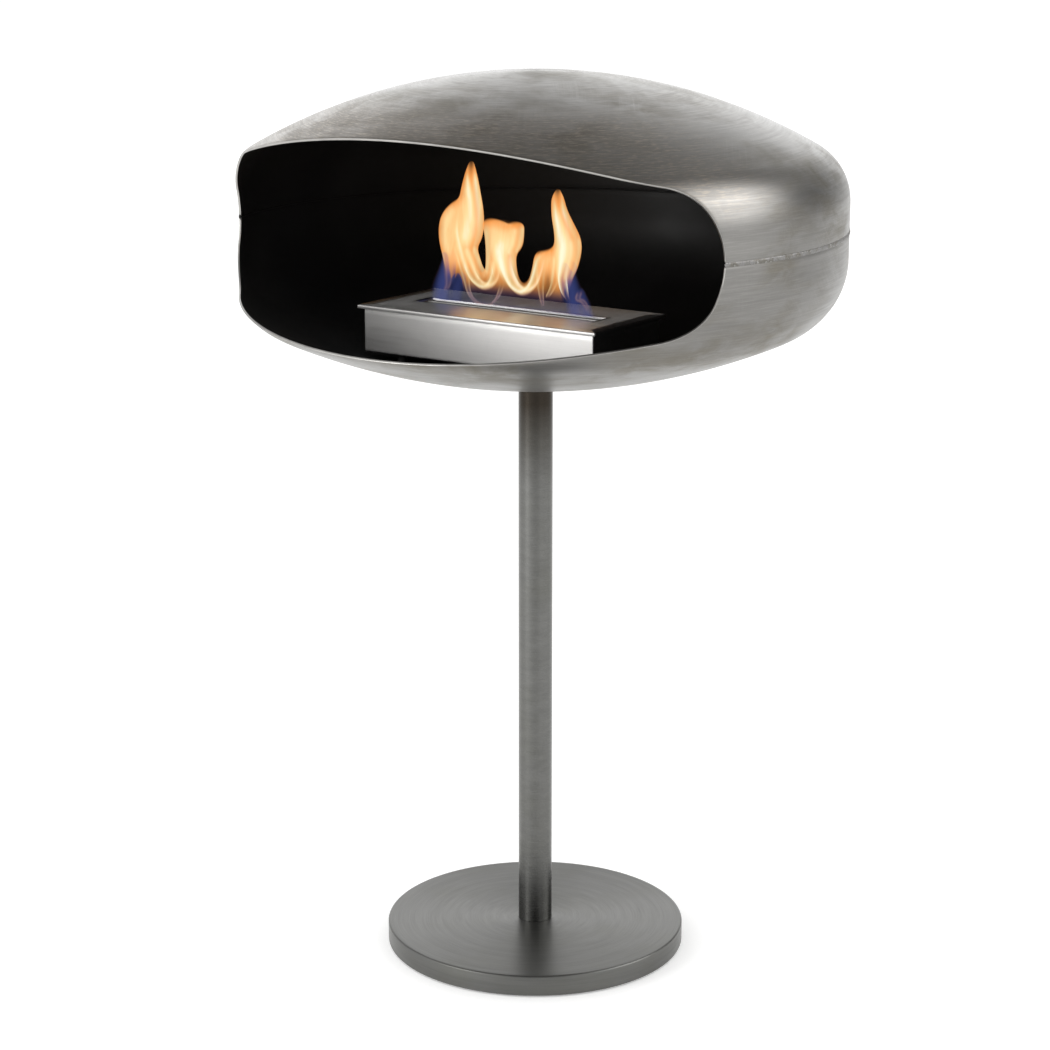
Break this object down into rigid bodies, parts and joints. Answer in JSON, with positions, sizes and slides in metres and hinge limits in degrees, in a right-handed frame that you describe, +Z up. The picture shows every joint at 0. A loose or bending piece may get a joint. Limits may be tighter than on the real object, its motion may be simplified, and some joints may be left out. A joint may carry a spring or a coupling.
{
  "type": "free-standing ethanol fireplace",
  "caption": "Flattened round steel pod with a wide curved mouth, turning on a pole with a disc base, holding a slotted box burner with a sliding cover for an open ethanol flame.",
  "frame": {"origin": "middle of the floor face of the base, on the axis of the pole", "axes": "+Z up along the pole, -Y out of the mouth of the pod, +X to the right of someone who stands behind the mouth and looks along +Y into it"},
  "size_m": [0.8566, 0.8059, 1.2589],
  "materials": {
    "pod_steel": "hand-brushed outside with a clear coat, matt black inside",
    "weld_steel": "bare bead, brushed over",
    "stand_steel": "turned and brushed, clear coat",
    "burner_steel": "fine brushed stainless",
    "black_paint": "heat-resistant matt black",
    "bolt_steel": "zinc plated",
    "spring_steel": "phosphated",
    "bearing_bronze": "plain bearing bronze",
    "pad_rubber": "matt",
    "fibre": "white ceramic wool",
    "mesh_steel": "woven stainless wire"
  },
  "bodies": {
    "stand": {"base_pad": "pad_rubber", "base_disc": "stand_steel", "base_bolt": "bolt_steel", "base_washer": "bolt_steel", "pole": "stand_steel", "pole_foot_plug": "bolt_steel", "pole_head_plug": "bolt_steel", "lower_thrust_washer": "bearing_bronze", "swivel_bolt": "bolt_steel", "upper_thrust_washer": "bearing_bronze", "disc_spring": "spring_steel"},
    "pod": {"lower_shell": "pod_steel", "upper_shell": "pod_steel", "equator_weld": "weld_steel", "doubler_plate": "black_paint", "tray_standoffs": "black_paint", "burner_tray": "black_paint", "tray_screws": "bolt_steel"},
    "burner": {"burner_casing": "burner_steel", "reservoir_rails": "burner_steel", "fuel_reservoir": "burner_steel", "ceramic_fibre": "fibre", "retaining_mesh": "mesh_steel", "burner_top_plate": "burner_steel", "slot_collar": "burner_steel", "slider_guides": "burner_steel"},
    "slider": {"slider_plate": "burner_steel"}
  },
  "joints": [
    {"name": "pod_swivel", "type": "hinge", "parent": "stand", "child": "pod", "pos_m": [0, 0, 0.84], "axis": [0, 0, 1], "continuous": true},
    {"name": "burner_lift_out", "type": "slide", "parent": "pod", "child": "burner", "axis": [0, -0.9397, 0.342], "range_m": [0, 0.55]},
    {"name": "slot_slider", "type": "slide", "parent": "burner", "child": "slider", "axis": [0, 1, 0], "range_m": [-0.012, 0.012]}
  ]
}
